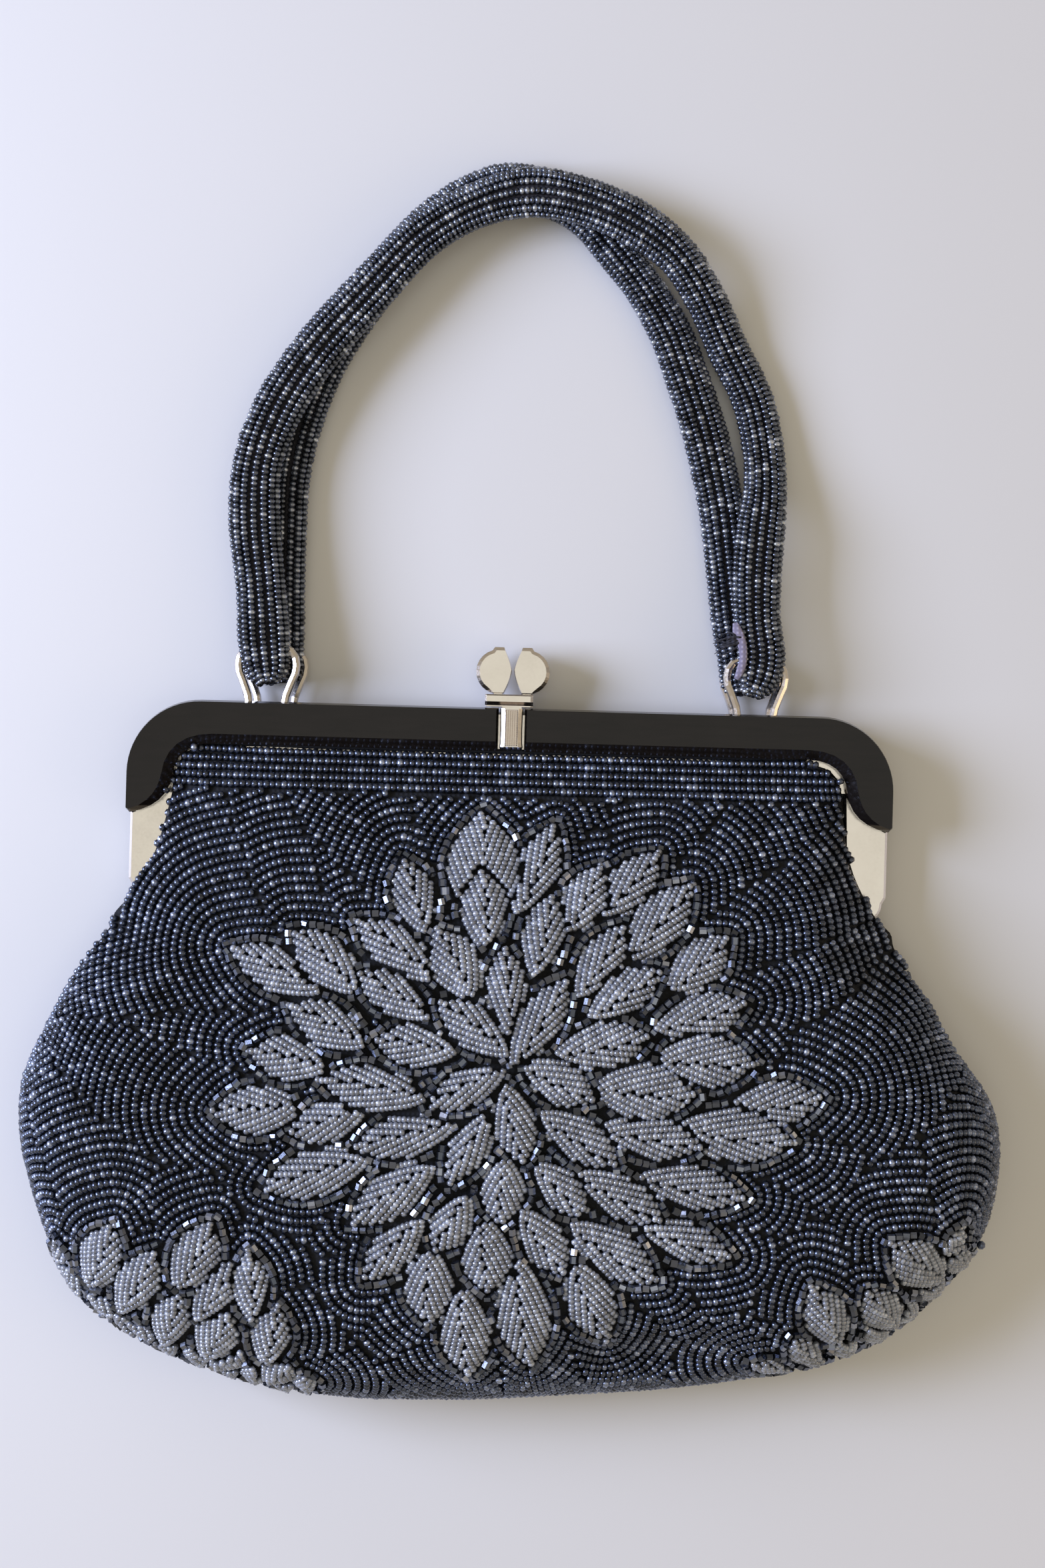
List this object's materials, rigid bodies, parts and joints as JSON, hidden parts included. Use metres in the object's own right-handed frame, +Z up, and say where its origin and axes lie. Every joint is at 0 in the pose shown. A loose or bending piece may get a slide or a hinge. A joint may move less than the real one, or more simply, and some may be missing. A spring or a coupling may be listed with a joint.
{
  "type": "beaded handbag",
  "caption": "Beaded frame handbag with a puffed pouch, a kiss-lock clasp, glossy frame covers and a twin beaded handle, lying on its back.",
  "frame": {"origin": "middle of the bag lying on its back, on the table under it", "axes": "+X to the right seen from the front, +Y from the pouch towards the handle, +Z up out of the flowered front"},
  "size_m": [0.2306, 0.2939, 0.0356],
  "materials": {
    "beading": "satin metallic seed beads sewn on dark fabric, with pearl grey petals",
    "nickel": "polished nickel plate",
    "cover": "glossy black brown"
  },
  "bodies": {
    "root": {"pouch": "beading", "frame_front": "nickel", "frame_back": "nickel", "cover_front_left": "cover", "cover_front_right": "cover", "cover_back_left": "cover", "cover_back_right": "cover", "clasp_front": "nickel", "clasp_back": "nickel", "hinge_pin_left": "nickel", "hinge_pin_right": "nickel", "loop_front_left": "nickel", "loop_front_right": "nickel", "loop_back_left": "nickel", "loop_back_right": "nickel", "strap_front": "beading", "strap_back": "beading"}
  },
  "joints": []
}
